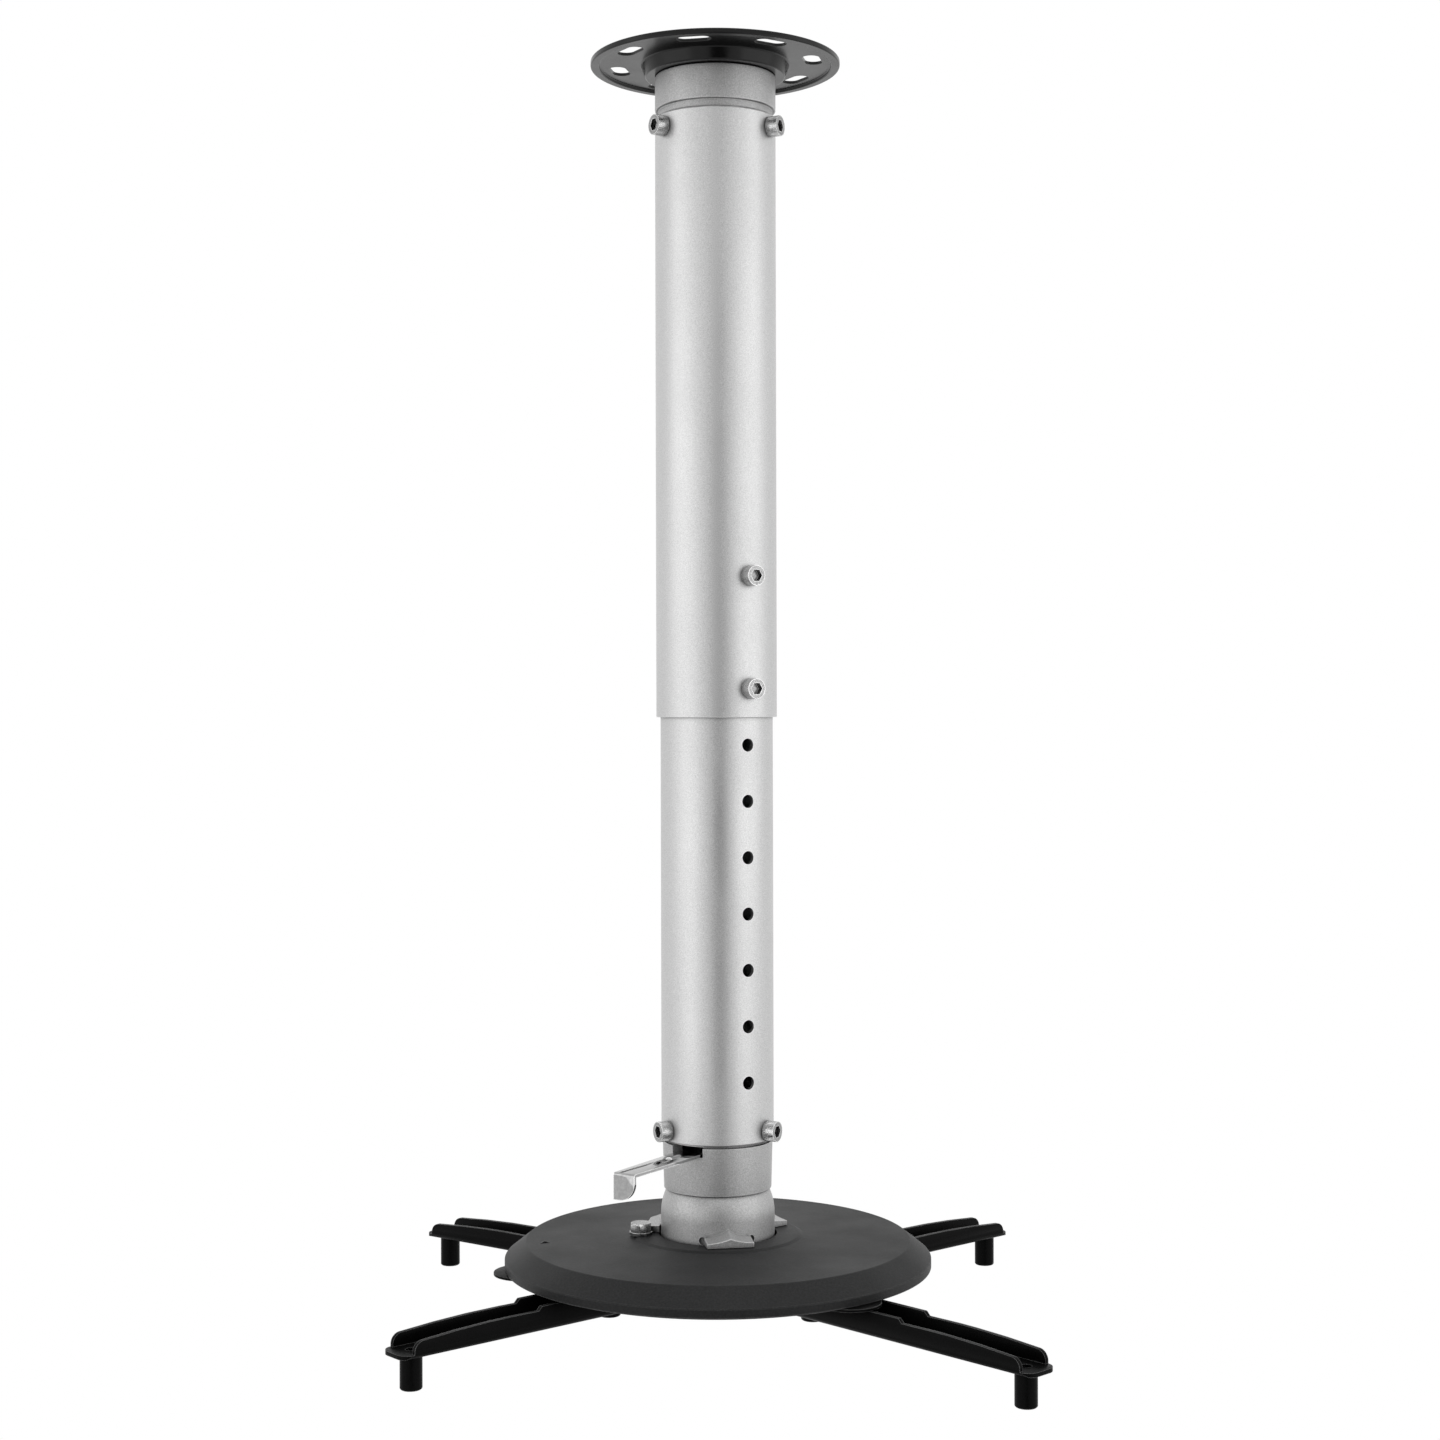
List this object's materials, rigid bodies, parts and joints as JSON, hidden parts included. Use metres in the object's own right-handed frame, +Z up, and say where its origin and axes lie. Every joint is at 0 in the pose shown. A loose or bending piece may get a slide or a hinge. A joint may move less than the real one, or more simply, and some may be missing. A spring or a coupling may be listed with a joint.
{
  "type": "projector ceiling mount",
  "caption": "Telescopic tube mount: round ceiling plate, lever-clamped ball joint under the tube, round cover and swivelling, sliding channel arms for a projector.",
  "frame": {"origin": "centre of the ceiling plate's top face", "axes": "+Z up along the tube, out of the ceiling face; -Y towards the viewer of the picture; the mount hangs below the origin"},
  "size_m": [0.3163, 0.2815, 0.6273],
  "materials": {
    "gloss_black": "gloss black coat",
    "silver_coat": "fine silver powder coat",
    "zinc": "bright zinc plate",
    "chrome_plate": "polished plate",
    "liner_plastic": "plain",
    "cover_plastic": "fine satin texture",
    "black_coat": "satin black coat"
  },
  "bodies": {
    "ceiling": {"ceiling_plate": "gloss_black", "upper_collar": "silver_coat", "centre_bolt": "zinc", "centre_washer": "zinc", "centre_nut": "zinc", "outer_tube": "silver_coat", "upper_screws": "zinc", "clamp_screws": "zinc"},
    "inner": {"inner_tube": "silver_coat", "lower_collar": "silver_coat", "lower_screws": "zinc", "clamp_bolt": "zinc"},
    "lever": {"clamp_lever": "chrome_plate", "clamp_nut": "zinc"},
    "cup": {"pressure_cup": "zinc"},
    "liner": {"friction_liner": "liner_plastic"},
    "head": {"ball_hub": "silver_coat", "hub_screws": "zinc", "cover_disc": "cover_plastic", "base_plate": "black_coat", "lock_bolt": "zinc", "lock_washer": "zinc", "lock_sleeve": "zinc", "pivot_screw_front_left": "zinc", "pivot_screw_front_right": "zinc", "pivot_screw_rear_right": "zinc", "pivot_screw_rear_left": "zinc"},
    "pivot_front_left": {"pivot_sleeve_front_left": "zinc"},
    "arm_front_left": {"arm_front_left": "black_coat", "standoff_front_left": "black_coat"},
    "pivot_front_right": {"pivot_sleeve_front_right": "zinc"},
    "arm_front_right": {"arm_front_right": "black_coat", "standoff_front_right": "black_coat"},
    "pivot_rear_right": {"pivot_sleeve_rear_right": "zinc"},
    "arm_rear_right": {"arm_rear_right": "black_coat", "standoff_rear_right": "black_coat"},
    "pivot_rear_left": {"pivot_sleeve_rear_left": "zinc"},
    "arm_rear_left": {"arm_rear_left": "black_coat", "standoff_rear_left": "black_coat"}
  },
  "joints": [
    {"name": "tube_extension", "type": "slide", "parent": "ceiling", "child": "inner", "axis": [0, 0, 1], "range_m": [0, 0.1925]},
    {"name": "clamp_lever_turn", "type": "hinge", "parent": "inner", "child": "lever", "pos_m": [0, 0, -0.54], "axis": [0, 0, 1], "range_deg": [-7, 0]},
    {"name": "head_yaw", "type": "hinge", "parent": "inner", "child": "cup", "pos_m": [0, 0, -0.5722], "axis": [0, 0, 1], "continuous": true},
    {"name": "head_pitch", "type": "hinge", "parent": "cup", "child": "liner", "pos_m": [0, 0, -0.5722], "axis": [1, 0, 0], "range_deg": [-15, 15]},
    {"name": "head_roll", "type": "hinge", "parent": "liner", "child": "head", "pos_m": [0, 0, -0.5722], "axis": [0, 1, 0], "range_deg": [-15, 15]},
    {"name": "swivel_front_left", "type": "hinge", "parent": "head", "child": "pivot_front_left", "pos_m": [-0.05243, -0.03671, -0.605], "axis": [0, 0, 1], "range_deg": [-20, 20]},
    {"name": "reach_front_left", "type": "slide", "parent": "pivot_front_left", "child": "arm_front_left", "axis": [-0.7593, -0.6508, 0], "range_m": [-0.0033, 0.0187]},
    {"name": "swivel_front_right", "type": "hinge", "parent": "head", "child": "pivot_front_right", "pos_m": [0.04525, -0.04525, -0.605], "axis": [0, 0, 1], "range_deg": [-20, 20]},
    {"name": "reach_front_right", "type": "slide", "parent": "pivot_front_right", "child": "arm_front_right", "axis": [0.6921, -0.7218, 0], "range_m": [-0.0197, 0.0023]},
    {"name": "swivel_rear_right", "type": "hinge", "parent": "head", "child": "pivot_rear_right", "pos_m": [0.05243, 0.03671, -0.605], "axis": [0, 0, 1], "range_deg": [-20, 20]},
    {"name": "reach_rear_right", "type": "slide", "parent": "pivot_rear_right", "child": "arm_rear_right", "axis": [0.7581, 0.6521, 0], "range_m": [-0.0135, 0.0085]},
    {"name": "swivel_rear_left", "type": "hinge", "parent": "head", "child": "pivot_rear_left", "pos_m": [-0.04525, 0.04525, -0.605], "axis": [0, 0, 1], "range_deg": [-20, 20]},
    {"name": "reach_rear_left", "type": "slide", "parent": "pivot_rear_left", "child": "arm_rear_left", "axis": [-0.808, 0.5892, 0], "range_m": [-0.0159, 0.0061]}
  ]
}
